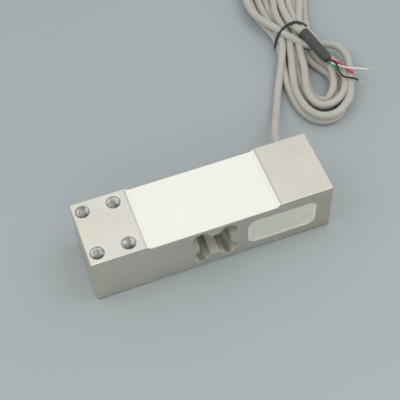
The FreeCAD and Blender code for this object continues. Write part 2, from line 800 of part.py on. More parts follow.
for name, shape in nodes.items():
    shape.exportStep(f"parts/{name}.step")
    solids = shape.Solids
    print(f"{name:34s} solids {len(solids)} valid {shape.isValid()} volume {shape.Volume:10.3f}")
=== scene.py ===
# %% [markdown]
# # A single point load cell
# A load cell like this one sits under the pan of a small platform scale. It is a bar of
# aluminium with a hole cut through its middle, and strain gauges are glued over the thin
# parts. The bar, the holes and the gauges come as solids that are already in place. This
# lesson gives them their finishes, and models what is soft or too fine for the solids: the
# cable in its hank, the tie, the sleeve, the four wires and the screw threads.

# %% Loading the solids
from math import cos, pi, radians, sin, tan

import bmesh
import bpy
from mathutils import Matrix, Quaternion, Vector


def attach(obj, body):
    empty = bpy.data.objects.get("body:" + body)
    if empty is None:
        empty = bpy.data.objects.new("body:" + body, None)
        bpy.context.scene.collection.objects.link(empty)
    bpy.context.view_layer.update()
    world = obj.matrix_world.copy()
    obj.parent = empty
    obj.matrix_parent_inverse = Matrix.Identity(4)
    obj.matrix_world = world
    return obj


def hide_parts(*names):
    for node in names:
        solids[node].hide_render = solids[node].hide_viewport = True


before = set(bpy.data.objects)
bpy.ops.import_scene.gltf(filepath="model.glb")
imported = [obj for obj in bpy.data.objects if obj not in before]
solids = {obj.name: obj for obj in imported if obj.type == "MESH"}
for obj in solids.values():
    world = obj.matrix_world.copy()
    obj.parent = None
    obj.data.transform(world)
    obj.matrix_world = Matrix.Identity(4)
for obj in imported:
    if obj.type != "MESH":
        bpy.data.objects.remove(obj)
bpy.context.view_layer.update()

# %% [markdown]
# The camera looks down on the bar from the front left. It could be aimed by hand, but three
# angles and a distance say the same thing in numbers that are easy to change. The quaternion
# turns the camera's own Z axis outward, and the last turn rolls it a little.

# %% Camera
view_target = Vector((0.00635, 0.0236, 0.0))
view_distance = 0.64713
view_azimuth, view_elevation, view_roll = radians(-17.818), radians(55.659), radians(-2.728)
outward = Vector(
    (
        sin(view_azimuth) * cos(view_elevation),
        -cos(view_azimuth) * cos(view_elevation),
        sin(view_elevation),
    )
)
camera_data = bpy.data.cameras.new("camera")
camera_data.lens = 91.7
camera = bpy.data.objects.new("camera", camera_data)
camera.location = view_target + outward * view_distance
camera.rotation_mode = "QUATERNION"
camera.rotation_quaternion = outward.to_track_quat("Z", "Y") @ Quaternion((0, 0, 1), view_roll)
bpy.context.scene.collection.objects.link(camera)
bpy.context.scene.camera = camera
print("camera at", [round(v, 3) for v in camera.location])

# %% [markdown]
# ## Helpers for finishes
# Every finish here has some grain: the blasted metal, the rubbery jacket, the cast silicone.
# Each finish has colours of its own, but the way to make grain is the same, so it is built
# once as a node group and placed in each material with its own numbers. The group gives a
# height for bumps and a tone for colour, and nothing else.


# %% Grain group
def build_grain_group():
    """A noise on Object coordinates, with a fine height and a tone that runs from 0 to 1."""
    group = bpy.data.node_groups.new("surface_grain", "ShaderNodeTree")
    sockets = (
        ("Stretch", "INPUT", "NodeSocketVector"),
        ("Grain", "INPUT", "NodeSocketFloat"),
        ("Patch", "INPUT", "NodeSocketFloat"),
        ("Speckle", "INPUT", "NodeSocketFloat"),
        ("Height", "OUTPUT", "NodeSocketFloat"),
        ("Tone", "OUTPUT", "NodeSocketFloat"),
    )
    for name, side, kind in sockets:
        group.interface.new_socket(name, in_out=side, socket_type=kind)
    into = group.nodes.new("NodeGroupInput")
    out = group.nodes.new("NodeGroupOutput")
    place = group.nodes.new("ShaderNodeTexCoord")
    stretch = group.nodes.new("ShaderNodeVectorMath")
    stretch.operation = "MULTIPLY"
    fine = group.nodes.new("ShaderNodeTexNoise")
    fine.inputs["Detail"].default_value = 3
    fine.inputs["Roughness"].default_value = 0.6
    broad = group.nodes.new("ShaderNodeTexNoise")
    broad.inputs["Detail"].default_value = 2
    blend = group.nodes.new("ShaderNodeMix")
    spread = group.nodes.new("ShaderNodeMapRange")
    spread.inputs["From Min"].default_value = 0.3
    spread.inputs["From Max"].default_value = 0.7
    link = group.links.new
    link(place.outputs["Object"], stretch.inputs[0])
    link(into.outputs["Stretch"], stretch.inputs[1])
    link(stretch.outputs["Vector"], fine.inputs["Vector"])
    link(into.outputs["Grain"], fine.inputs["Scale"])
    link(place.outputs["Object"], broad.inputs["Vector"])
    link(into.outputs["Patch"], broad.inputs["Scale"])
    link(into.outputs["Speckle"], blend.inputs[0])
    link(broad.outputs["Fac"], blend.inputs[2])
    link(fine.outputs["Fac"], blend.inputs[3])
    link(fine.outputs["Fac"], out.inputs["Height"])
    link(blend.outputs[0], spread.inputs["Value"])
    link(spread.outputs["Result"], out.inputs["Tone"])
    return group


surface_grain = build_grain_group()
print("group", surface_grain.name, [s.name for s in surface_grain.interface.items_tree])

# %% [markdown]
# A material then needs the same few links each time: tone to colour, height to a Bump node,
# and a slightly uneven roughness. The helper below makes them and hands the material back,
# so that a special finish can go on from there. Colours are given as linear light. Grain and
# patch are noise scales, so a larger number means a finer texture.

# %% Grained finish
uneven_roughness = 0.06


def grained_finish(
    name, light, dark, rough, grain, patch, bump, stretch=(1, 1, 1), metal=0.0, speckle=0.35
):
    """A Principled finish whose colour runs between two close tones, with a fine bump."""
    finish = bpy.data.materials.new(name)
    finish.use_nodes = True
    tree = finish.node_tree
    shader = tree.nodes["Principled BSDF"]
    texture = tree.nodes.new("ShaderNodeGroup")
    texture.node_tree = surface_grain
    texture.name = "grain"
    texture.inputs["Stretch"].default_value = stretch
    texture.inputs["Grain"].default_value = grain
    texture.inputs["Patch"].default_value = patch
    texture.inputs["Speckle"].default_value = speckle
    colour = tree.nodes.new("ShaderNodeMix")
    colour.data_type = "RGBA"
    colour.inputs[6].default_value = (*dark, 1)
    colour.inputs[7].default_value = (*light, 1)
    tree.links.new(texture.outputs["Tone"], colour.inputs[0])
    tree.links.new(colour.outputs[2], shader.inputs["Base Color"])
    uneven = tree.nodes.new("ShaderNodeMapRange")
    uneven.inputs["To Min"].default_value = rough - uneven_roughness
    uneven.inputs["To Max"].default_value = rough + uneven_roughness
    tree.links.new(texture.outputs["Height"], uneven.inputs["Value"])
    tree.links.new(uneven.outputs["Result"], shader.inputs["Roughness"])
    relief = tree.nodes.new("ShaderNodeBump")
    relief.name = "relief"
    relief.inputs["Strength"].default_value = 1.0
    relief.inputs["Distance"].default_value = bump
    tree.links.new(texture.outputs["Height"], relief.inputs["Height"])
    tree.links.new(relief.outputs["Normal"], shader.inputs["Normal"])
    shader.inputs["Metallic"].default_value = metal
    finish.diffuse_color = (*light, 1)
    return finish


def dress(node, finish):
    """Puts a finish on every material slot of a solid."""
    mesh = solids[node].data
    if not mesh.materials:
        mesh.materials.append(finish)
    for i in range(len(mesh.materials)):
        mesh.materials[i] = finish


# %% [markdown]
# Some colours differ from place to place: the window is warmer, and shade and highlights are
# painted on where the light falls, such as sides darker than the lit top. Painting them apart
# would take an image. A mask worked out from where a point lies, and which way its face looks,
# does the same in a few numbers. Each mask runs from 0 to 1, and a tint multiplies the finish's
# colour where its mask is full.


# %% Masks and tints
def reckon(operation, *values):
    """Adds a Math node fed by sockets or plain numbers, and gives back its result."""
    tree = next(value.id_data for value in values if not isinstance(value, float))
    node = tree.nodes.new("ShaderNodeMath")
    node.operation = operation
    for socket, value in zip(node.inputs, values):
        if isinstance(value, float):
            socket.default_value = value
        else:
            tree.links.new(value, socket)
    return node.outputs[0]


def ramp(value, none_at, full_at, at_none=0.0, at_full=1.0):
    """Goes from one result to another as a value goes between two bounds, and holds beyond."""
    tree = value.id_data
    node = tree.nodes.new("ShaderNodeMapRange")
    node.inputs["From Min"].default_value = none_at
    node.inputs["From Max"].default_value = full_at
    node.inputs["To Min"].default_value = at_none
    node.inputs["To Max"].default_value = at_full
    tree.links.new(value, node.inputs["Value"])
    return node.outputs["Result"]


def away(value, place=0.0):
    """How far a value lies from a place, on either side of it."""
    return reckon("ABSOLUTE", reckon("SUBTRACT", value, place))


def all_of(mask, *others):
    """The product of masks, which is full only where each of them is."""
    for other in others:
        mask = reckon("MULTIPLY", mask, other)
    return mask


def place_axes(finish):
    """The X, Y and Z of a point of the surface, and how far it looks up or down."""
    tree = finish.node_tree
    where = tree.nodes.new("ShaderNodeTexCoord")
    point, facing = (tree.nodes.new("ShaderNodeSeparateXYZ") for _ in range(2))
    tree.links.new(where.outputs["Object"], point.inputs[0])
    tree.links.new(where.outputs["Normal"], facing.inputs[0])
    return (*point.outputs, reckon("ABSOLUTE", facing.outputs[2]))


def tint(finish, mask, colour):
    """Multiplies a finish's colour by another one where a mask is full."""
    tree = finish.node_tree
    base = tree.nodes["Principled BSDF"].inputs["Base Color"]
    before = base.links[0].from_socket
    hue, product = (tree.nodes.new("ShaderNodeMix") for _ in range(2))
    for node in (hue, product):
        node.data_type = "RGBA"
    product.blend_type = "MULTIPLY"
    product.inputs[0].default_value = 1.0
    hue.inputs[6].default_value = (1, 1, 1, 1)
    hue.inputs[7].default_value = (*colour, 1)
    tree.links.new(mask, hue.inputs[0])
    tree.links.new(before, product.inputs[6])
    tree.links.new(hue.outputs[2], product.inputs[7])
    tree.links.new(product.outputs[2], base)


# %% [markdown]
# ## The bar
# The bar is cut from aluminium, and its faces are milled and then lightly blasted, so they show a
# fine grain with only a hint of the cutter's lines. Metal takes its look from what it mirrors, so
# its own colour stays close to plain. Tints paint shade onto the sides, the right end, the holes,
# the depth of the window and the foot, and highlights onto the rim and the window's lower lip. A
# tint also makes the window warmer.

# %% Places on the bar
half_length, half_width, middle_height = 0.075, 0.022, 0.0196
hole_group = 0.0597  # from the bar's middle to the middle of four holes
hole_along, hole_across = 0.0095, 0.0151  # from there to each hole
chamfer_radius = 0.0046
recess_end = 0.0418
window_half_length, window_half_height = 0.021, 0.0138

# %% Bar finish
aluminium = grained_finish(
    "milled_aluminium",
    light=(0.92, 0.90, 0.84),
    dark=(0.78, 0.755, 0.70),
    rough=0.42,
    grain=1500,
    patch=45,
    bump=0.00004,
    stretch=(0.55, 1, 1),
    metal=1.0,
    speckle=0.55,
)

# A soft edge, 0.3 mm wide, catches the light along every corner.
corner_radius = 0.0003
edge = aluminium.node_tree.nodes.new("ShaderNodeBevel")
edge.samples = 6
edge.inputs["Radius"].default_value = corner_radius
aluminium.node_tree.links.new(
    edge.outputs["Normal"], aluminium.node_tree.nodes["relief"].inputs["Normal"]
)
print("metal", aluminium.name, "with corners of", corner_radius)

# %% [markdown]
# Painted shade darkens the sides below the lit top, the right end and the walls of the holes, and
# the left end is a little warmer. The distance from the nearest hole comes from folding the bar's
# place over its middle lines, so one mask serves all the holes.

# %% Sides, ends and holes
x, y, z, level = place_axes(aluminium)
from_centre, from_axis = away(x), away(y)
on_wall, facing_up = ramp(level, 0.97, 0.8), ramp(level, 0.97, 0.99)
# painted shade: the sides are darker than the lit top
tint(aluminium, ramp(level, 0.65, 0.45), (0.84, 0.815, 0.785))
# painted shade: darker towards the right end
tint(aluminium, ramp(x, -0.05, half_length), (0.885, 0.875, 0.85))
tint(aluminium, ramp(x, -0.056, -0.074), (1.0, 1.0, 0.955))
along_from_hole = away(away(from_centre, hole_group), hole_along)
across_from_hole = away(from_axis, hole_across)
from_hole = reckon(
    "SQRT",
    reckon(
        "ADD",
        reckon("MULTIPLY", along_from_hole, along_from_hole),
        reckon("MULTIPLY", across_from_hole, across_from_hole),
    ),
)
near_hole = ramp(from_hole, chamfer_radius + 0.0003, chamfer_radius)
# painted shade on the walls and chamfers of the holes
tint(aluminium, all_of(near_hole, on_wall), (0.56, 0.555, 0.545))
print("holes at", hole_group - hole_along, hole_group + hole_along, "and", hole_across)

# %% [markdown]
# Inside the window the metal is dull and warm. Painted shade makes it darker further in, and a
# painted highlight, broken up by the grain, shines at the lower front lip. Less metallic means
# that it mirrors less.

# %% Window
in_window = all_of(
    ramp(from_centre, window_half_length + 0.0005, window_half_length),
    ramp(from_axis, half_width - 0.0001, half_width - 0.0004),
    ramp(away(z, middle_height), window_half_height + 0.0004, window_half_height),
)
further_in = ramp(y, 0.0005 - half_width, 0.012 - half_width)
at_front = ramp(y, 0.0012 - half_width, 0.0004 - half_width)
highlight_breakup = aluminium.node_tree.nodes["grain"].outputs["Tone"]
tint(aluminium, in_window, (1.0, 0.985, 0.93))
# painted shade: the window's walls darken further in
tint(aluminium, all_of(in_window, on_wall, further_in), (0.50, 0.54, 0.54))
# painted highlight on the lower front lip, broken up by the grain tone
tint(aluminium, all_of(in_window, at_front, ramp(z, 0.014, 0.010), highlight_breakup), (1.5, 1.5, 1.5))
aluminium.node_tree.links.new(
    ramp(in_window, 0.0, 1.0, 1.0, 0.35),
    aluminium.node_tree.nodes["Principled BSDF"].inputs["Metallic"],
)
print("window mask", 2 * window_half_length, "by", 2 * window_half_height)

# %% [markdown]
# A painted highlight brightens the outer rim of the top, a thin darker line runs where each recess
# begins, and a painted contact shadow darkens the foot of the bar where it meets the table.

# %% Rim, recess lines and foot
rim_highlight = reckon(
    "MAXIMUM",
    ramp(from_axis, half_width - 0.0005, half_width - 0.0001),
    ramp(from_centre, half_length - 0.0005, half_length - 0.0001),
)
at_step = ramp(away(from_centre, recess_end), 0.0004, 0.0002)
# painted highlight along the outer rim of the top
tint(aluminium, all_of(rim_highlight, facing_up), (1.07, 1.07, 1.06))
tint(aluminium, all_of(at_step, ramp(level, 0.45, 0.65)), (0.76, 0.76, 0.78))
# painted contact shadow along the foot of the bar
tint(aluminium, all_of(on_wall, ramp(z, 0.0007, 0.0004)), (0.35, 0.37, 0.40))
dress("beam_body", aluminium)

# %% [markdown]
# ## Sealing coats and potting
# A white compound covers the gauges in the two shallow recesses. It is cast thin and dries
# smooth and matt, with an even, faintly warm white. The side pocket holds a softer clear
# silicone, which looks grey-white and a little deep where the light goes into it, and pale
# where it climbs the pocket's wall.

# %% Coat finish
sealant = grained_finish(
    "white_sealing_compound",
    light=(0.925, 0.92, 0.84),
    dark=(0.885, 0.88, 0.80),
    rough=0.55,
    grain=900,
    patch=45,
    bump=0.00001,
)
for node in ("sealing_coat_top", "sealing_coat_bottom"):
    dress(node, sealant)
print("coats", sealant.name)

# %% Potting finish
pocket_x, pocket_z = 0.043, 0.01915
pocket_half_length, pocket_half_height = 0.022, 0.01115
potting = grained_finish(
    "pocket_silicone",
    light=(0.74, 0.755, 0.665),
    dark=(0.63, 0.65, 0.57),
    rough=0.4,
    grain=500,
    patch=90,
    bump=0.00003,
    stretch=(0.25, 1, 1),
    speckle=0.5,
)
silicone = potting.node_tree.nodes["Principled BSDF"]
silicone.inputs["Subsurface Weight"].default_value = 0.25
silicone.inputs["Subsurface Scale"].default_value = 0.002
x, _, z, _ = place_axes(potting)
from_wall = reckon(
    "MINIMUM",
    reckon("SUBTRACT", pocket_half_length, away(x, pocket_x)),
    reckon("SUBTRACT", pocket_half_height, away(z, pocket_z)),
)
tint(potting, ramp(from_wall, 0.0022, 0.0008), (1.12, 1.11, 1.10))
tint(potting, ramp(x, 0.045, 0.065), (1.10, 1.07, 1.05))
dress("pocket_potting", potting)
print("potting", potting.name)

# %% [markdown]
# ## Inside the bar
# Nobody sees the gauges and the board until the coat is lifted, yet each has its own plain
# finish: an amber film, etched foil, copper, green laminate, and the cores' own colours.

# %% Inner finishes
inner_finishes = {
    "gauge_backing": ("amber_film", (0.62, 0.40, 0.10), (0.52, 0.32, 0.07), 0.35, 0.0),
    "gauge_grid": ("etched_foil", (0.55, 0.52, 0.46), (0.47, 0.44, 0.39), 0.38, 1.0),
    "gauge_flex": ("printed_film", (0.55, 0.30, 0.07), (0.46, 0.25, 0.05), 0.4, 0.0),
    "terminal_pads": ("bare_copper", (0.78, 0.44, 0.28), (0.66, 0.36, 0.22), 0.35, 1.0),
    "bridge_board": ("board_laminate", (0.04, 0.20, 0.09), (0.03, 0.15, 0.07), 0.45, 0.0),
    "board_resistors": ("resistor_ceramic", (0.03, 0.03, 0.035), (0.02, 0.02, 0.02), 0.5, 0.0),
}
for start, (name, light, dark, rough, metal) in inner_finishes.items():
    inner = grained_finish(name, light, dark, rough, 1500, 200, 0.00001, metal=metal)
    for node in solids:
        same_copper = name == "bare_copper" and node.startswith(("gauge_links", "board_pads"))
        if node.startswith(start) or same_copper:
            dress(node, inner)
            print(name, "on", node)

# %% Core insulation
insulation_tones = {
    "red": ((0.74, 0.03, 0.085), (0.62, 0.02, 0.06)),
    "white": ((0.8, 0.8, 0.79), (0.7, 0.7, 0.69)),
    "black": ((0.02, 0.02, 0.022), (0.012, 0.012, 0.013)),
    "green": ((0.0, 0.40, 0.13), (0.0, 0.31, 0.10)),
}
insulation = {}
for colour, (light, dark) in insulation_tones.items():
    finish = grained_finish(colour + "_insulation", light, dark, 0.35, 900, 300, 0.00001)
    insulation[colour] = finish
    dress("board_core_" + colour, finish)
print("core colours", list(insulation))

# %% [markdown]
# ## The cable
# The cable leaves the back of the bar, drops to the table and runs to a hank: it goes to and fro
# in five loops, and a tie pinches them at the waist. A tube could be swept along each loop, but
# one smooth NURBS line through all of them is what a cable really is. The first seven points, down
# to the hank, are given one by one. In the hank, points were chosen by hand along the strands, and
# a separate program joined them and wrote the evenly spaced points that stand here, so they are
# harder to change. No two near loops are alike.

# %% Cable route
cable_diameter = 0.005
cable_route = [
    (0.0618, 0.0220, 0.0196), (0.0618, 0.0330, 0.0196), (0.0660, 0.0455, 0.0170),
    (0.0718, 0.0575, 0.0102), (0.0778, 0.0700, 0.0049), (0.0840, 0.0830, 0.0029),
    (0.0912, 0.0970, 0.0032), (0.0957, 0.1048, 0.0057), (0.1000, 0.1135, 0.0068),
    (0.1039, 0.1221, 0.0072), (0.1056, 0.1314, 0.0060), (0.1047, 0.1407, 0.0040),
    (0.1043, 0.1502, 0.0030), (0.1040, 0.1597, 0.0027), (0.1048, 0.1692, 0.0027),
    (0.1058, 0.1786, 0.0027), (0.1070, 0.1880, 0.0027), (0.1079, 0.1975, 0.0027),
    (0.1086, 0.2070, 0.0027), (0.1104, 0.2164, 0.0027), (0.1160, 0.2242, 0.0027),
    (0.1247, 0.2285, 0.0027), (0.1345, 0.2280, 0.0027), (0.1422, 0.2218, 0.0027),
    (0.1444, 0.2123, 0.0027), (0.1418, 0.2030, 0.0029), (0.1385, 0.1942, 0.0033),
    (0.1358, 0.1851, 0.0036), (0.1333, 0.1759, 0.0040), (0.1306, 0.1668, 0.0044),
    (0.1275, 0.1578, 0.0046), (0.1251, 0.1486, 0.0046), (0.1239, 0.1392, 0.0036),
    (0.1240, 0.1297, 0.0027), (0.1227, 0.1203, 0.0027), (0.1215, 0.1109, 0.0027),
    (0.1232, 0.1015, 0.0027), (0.1258, 0.0923, 0.0027), (0.1282, 0.0831, 0.0027),
    (0.1281, 0.0736, 0.0027), (0.1256, 0.0643, 0.0027), (0.1207, 0.0561, 0.0027),
    (0.1124, 0.0509, 0.0027), (0.1026, 0.0520, 0.0027), (0.0959, 0.0591, 0.0027),
    (0.0934, 0.0684, 0.0027), (0.0932, 0.0779, 0.0027), (0.0939, 0.0874, 0.0027),
    (0.0958, 0.0967, 0.0027), (0.0981, 0.1059, 0.0027), (0.1003, 0.1152, 0.0027),
    (0.1024, 0.1244, 0.0027), (0.1030, 0.1340, 0.0027), (0.1011, 0.1433, 0.0027),
    (0.0989, 0.1526, 0.0027), (0.0982, 0.1621, 0.0027), (0.0990, 0.1715, 0.0027),
    (0.1003, 0.1809, 0.0027), (0.1016, 0.1904, 0.0027), (0.1026, 0.1998, 0.0027),
    (0.1036, 0.2093, 0.0027), (0.1055, 0.2186, 0.0027), (0.1104, 0.2269, 0.0027),
    (0.1182, 0.2325, 0.0027), (0.1275, 0.2351, 0.0027), (0.1371, 0.2336, 0.0027),
    (0.1450, 0.2280, 0.0027), (0.1494, 0.2194, 0.0027), (0.1496, 0.2098, 0.0027),
    (0.1471, 0.2006, 0.0027), (0.1446, 0.1915, 0.0027), (0.1427, 0.1821, 0.0027),
    (0.1410, 0.1728, 0.0027), (0.1377, 0.1639, 0.0027), (0.1340, 0.1551, 0.0027),
    (0.1308, 0.1461, 0.0028), (0.1276, 0.1374, 0.0044), (0.1243, 0.1285, 0.0071),
    (0.1276, 0.1196, 0.0053), (0.1289, 0.1105, 0.0030), (0.1288, 0.1010, 0.0052),
    (0.1306, 0.0920, 0.0076), (0.1320, 0.0825, 0.0077), (0.1297, 0.0732, 0.0076),
    (0.1243, 0.0652, 0.0076), (0.1160, 0.0602, 0.0076), (0.1057, 0.0603, 0.0076),
    (0.1020, 0.0695, 0.0076), (0.1029, 0.0791, 0.0076), (0.1063, 0.0880, 0.0076),
    (0.1095, 0.0969, 0.0076), (0.1112, 0.1063, 0.0077), (0.1139, 0.1154, 0.0074),
    (0.1149, 0.1249, 0.0066), (0.1176, 0.1340, 0.0065), (0.1211, 0.1428, 0.0069),
    (0.1216, 0.1524, 0.0068), (0.1245, 0.1615, 0.0068), (0.1278, 0.1704, 0.0070),
    (0.1310, 0.1793, 0.0071), (0.1340, 0.1883, 0.0072), (0.1373, 0.1972, 0.0073),
    (0.1413, 0.2059, 0.0075), (0.1411, 0.2158, 0.0072), (0.1334, 0.2219, 0.0050),
    (0.1238, 0.2209, 0.0030), (0.1162, 0.2147, 0.0027), (0.1137, 0.2054, 0.0027),
    (0.1132, 0.1959, 0.0027), (0.1122, 0.1864, 0.0027), (0.1112, 0.1770, 0.0027),
    (0.1103, 0.1675, 0.0027), (0.1088, 0.1581, 0.0027), (0.1088, 0.1486, 0.0027),
    (0.1096, 0.1391, 0.0027), (0.1078, 0.1296, 0.0027), (0.1109, 0.1204, 0.0034),
    (0.1096, 0.1110, 0.0036), (0.1068, 0.1019, 0.0027), (0.1045, 0.0927, 0.0027),
    (0.1023, 0.0835, 0.0027), (0.1017, 0.0739, 0.0027), (0.1049, 0.0646, 0.0027),
    (0.1147, 0.0613, 0.0027), (0.1215, 0.0688, 0.0027), (0.1242, 0.0780, 0.0027),
    (0.1247, 0.0876, 0.0027), (0.1203, 0.0961, 0.0027), (0.1165, 0.1049, 0.0027),
    (0.1169, 0.1145, 0.0027), (0.1185, 0.1238, 0.0027), (0.1189, 0.1334, 0.0027),
    (0.1195, 0.1428, 0.0027), (0.1206, 0.1523, 0.0027), (0.1231, 0.1615, 0.0027),
    (0.1261, 0.1705, 0.0027), (0.1291, 0.1795, 0.0027), (0.1318, 0.1886, 0.0027),
    (0.1353, 0.1974, 0.0027), (0.1385, 0.2066, 0.0027), (0.1348, 0.2158, 0.0036),
    (0.1252, 0.2162, 0.0076), (0.1177, 0.2097, 0.0075), (0.1160, 0.2001, 0.0073),
    (0.1163, 0.1906, 0.0070), (0.1154, 0.1812, 0.0068), (0.1154, 0.1716, 0.0065),
    (0.1138, 0.1623, 0.0064), (0.1105, 0.1533, 0.0067), (0.1096, 0.1438, 0.0072),
    (0.1105, 0.1344, 0.0068), (0.1103, 0.1248, 0.0064), (0.1070, 0.1158, 0.0067),
    (0.1043, 0.1068, 0.0060), (0.1011, 0.0978, 0.0057), (0.0984, 0.0887, 0.0053),
    (0.0960, 0.0795, 0.0055), (0.0956, 0.0700, 0.0066), (0.0967, 0.0605, 0.0072),
    (0.1024, 0.0525, 0.0074), (0.1122, 0.0509, 0.0074), (0.1209, 0.0553, 0.0075),
    (0.1280, 0.0617, 0.0080), (0.1319, 0.0704, 0.0080), (0.1357, 0.0792, 0.0080),
    (0.1387, 0.0881, 0.0080), (0.1406, 0.0976, 0.0080), (0.1375, 0.1069, 0.0080),
    (0.1290, 0.1116, 0.0080), (0.1193, 0.1126, 0.0081), (0.1131, 0.1201, 0.0092),
    (0.1075, 0.1278, 0.0098), (0.1037, 0.1365, 0.0095), (0.0989, 0.1447, 0.0089),
    (0.0956, 0.1536, 0.0084), (0.0949, 0.1631, 0.0076), (0.0962, 0.1726, 0.0069),
    (0.0987, 0.1817, 0.0071), (0.1013, 0.1909, 0.0073), (0.1037, 0.2001, 0.0074),
    (0.1062, 0.2092, 0.0076), (0.1087, 0.2185, 0.0076), (0.1150, 0.2258, 0.0076),
    (0.1237, 0.2299, 0.0076), (0.1334, 0.2301, 0.0076), (0.1419, 0.2255, 0.0076),
    (0.1470, 0.2171, 0.0076), (0.1471, 0.2075, 0.0076), (0.1441, 0.1984, 0.0075),
    (0.1412, 0.1894, 0.0075), (0.1390, 0.1801, 0.0075), (0.1367, 0.1709, 0.0074),
    (0.1334, 0.1620, 0.0073), (0.1299, 0.1531, 0.0073), (0.1258, 0.1446, 0.0077),
    (0.1221, 0.1359, 0.0084), (0.1209, 0.1263, 0.0088), (0.1234, 0.1179, 0.0044),
    (0.1244, 0.1084, 0.0048), (0.1256, 0.0992, 0.0069), (0.1264, 0.0897, 0.0077),
    (0.1238, 0.0805, 0.0077), (0.1201, 0.0717, 0.0067), (0.1123, 0.0658, 0.0027),
    (0.1057, 0.0740, 0.0027), (0.1068, 0.0837, 0.0027), (0.1091, 0.0929, 0.0027),
    (0.1114, 0.1021, 0.0027), (0.1131, 0.1115, 0.0027), (0.1139, 0.1210, 0.0027),
    (0.1133, 0.1305, 0.0027), (0.1142, 0.1399, 0.0027), (0.1141, 0.1494, 0.0027),
    (0.1148, 0.1589, 0.0027), (0.1165, 0.1683, 0.0027), (0.1171, 0.1778, 0.0027),
    (0.1182, 0.1872, 0.0027), (0.1183, 0.1967, 0.0027), (0.1201, 0.2063, 0.0027),
    (0.1289, 0.2118, 0.0030), (0.1368, 0.2069, 0.0080), (0.1342, 0.1967, 0.0073),
    (0.1295, 0.1886, 0.0074), (0.1252, 0.1801, 0.0074), (0.1216, 0.1713, 0.0074),
    (0.1186, 0.1623, 0.0075), (0.1166, 0.1530, 0.0083), (0.1156, 0.1436, 0.0092),
    (0.1155, 0.1340, 0.0098), (0.1178, 0.1252, 0.0124), (0.1207, 0.1164, 0.0141),
    (0.1219, 0.1069, 0.0132), (0.1236, 0.0976, 0.0134),
]
print("route points", len(cable_route))


# %% Round line
def round_line(name, route, radius, rings, steps):
    """A round solid line on one NURBS spline whose control points are the route."""
    curve = bpy.data.curves.new(name, "CURVE")
    curve.dimensions = "3D"
    curve.bevel_depth = radius
    curve.bevel_resolution = rings
    curve.use_fill_caps = True
    spline = curve.splines.new("NURBS")
    spline.points.add(len(route) - 1)
    for point, place in zip(spline.points, route):
        point.co = (*place, 1)
    spline.order_u = 3
    spline.use_endpoint_u = True
    spline.resolution_u = steps
    return bpy.data.objects.new(name, curve)


def line_of(cord):
    """The points that a cord's line passes through, read from the curve itself."""
    bare = cord.data.copy()
    bare.bevel_depth = 0
    carrier = bpy.data.objects.new("carrier", bare)
    mesh = bpy.data.meshes.new_from_object(carrier)
    line = [v.co.copy() for v in mesh.vertices]
    bpy.data.objects.remove(carrier)
    return line


# %% [markdown]
# The jacket is a soft grey plastic with a slight warmth and a dull sheen. Its surface is
# nearly even, so the grain stays low, and a weak tone keeps long runs from looking drawn. The
# strands are made a little fuller than the cable's nominal size.

# %% Cable
fullness = 1.075
jacket = grained_finish(
    "grey_jacket",
    light=(0.52, 0.50, 0.45),
    dark=(0.45, 0.435, 0.385),
    rough=0.5,
    grain=1200,
    patch=70,
    bump=0.00002,
)
dress("cable_jacket_end", jacket)
cable = round_line("signal_cable", cable_route, fullness * cable_diameter / 2, 4, 6)
cable.data.materials.append(jacket)
bpy.context.scene.collection.objects.link(cable)
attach(cable, "root")
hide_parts("cable_lead", "cable_hank", "cable_tail")
line = line_of(cable)
cable_length = sum((b - a).length for a, b in zip(line, line[1:]))
print("cable length", round(cable_length, 4))

# %% Seal
seal_rubber = grained_finish(
    "seal_rubber", (0.03, 0.03, 0.032), (0.02, 0.02, 0.022), 0.6, 900, 200, 0.00002
)
dress("cable_seal", seal_rubber)

# %% [markdown]
# ## The tie
# A thin coated ribbon goes once round the waist of the hank. It pulls the strands together,
# so its outline follows them: flat under the hank, and humped over the strands on top.
# A flat curve with some extrusion and a bevel is already a ribbon with round edges, and its
# place comes from one matrix, which leans it back along the strands.

# %% Tie
ribbon_finish = grained_finish(
    "black_ribbon", (0.022, 0.022, 0.024), (0.012, 0.012, 0.014), 0.42, 1500, 400, 0.00005
)
ribbon_half_width, ribbon_half_thickness = 0.0011, 0.0004
waist = Vector((0.1143, 0.1285, 0.0078))
waist_turn, tie_lean = radians(6.8), radians(30)
tie_outline = [  # across the hank and above the table, in millimetres
    (-15.4, 3.0), (-14.3, 6.3), (-12.4, 9.0), (-10.0, 11.2), (-7.0, 12.8), (-3.4, 13.7),
    (0.4, 14.1), (4.2, 13.5), (7.6, 11.9), (10.8, 9.4), (13.4, 6.8), (15.1, 4.2),
    (14.9, 1.6), (11.0, 0.5), (0.0, 0.4), (-11.0, 0.5), (-15.0, 1.3),
]


def ribbon_ring(name, outline, half_width, half_thickness):
    """A closed flat ribbon round an outline, as a mesh in its own plane."""
    curve = bpy.data.curves.new(name, "CURVE")
    curve.dimensions = "2D"
    curve.fill_mode = "NONE"
    curve.extrude = half_width - half_thickness
    curve.bevel_depth = half_thickness
    curve.bevel_resolution = 2
    spline = curve.splines.new("NURBS")
    spline.points.add(len(outline) - 1)
    for point, (across, up) in zip(spline.points, outline):
        point.co = (across / 1000, up / 1000, 0, 1)
    spline.order_u = 4
    spline.use_cyclic_u = True
    spline.resolution_u = 5
    carrier = bpy.data.objects.new(name, curve)
    mesh = bpy.data.meshes.new_from_object(carrier)
    bpy.data.objects.remove(carrier)
    return mesh


def add_piece(name, mesh, finish):
    """A mesh as a piece of the load cell, with its finish."""
    mesh.name = name
    mesh.materials.clear()
    mesh.materials.append(finish)
    piece = bpy.data.objects.new(name, mesh)
    bpy.context.scene.collection.objects.link(piece)
    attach(piece, "root")
    return piece


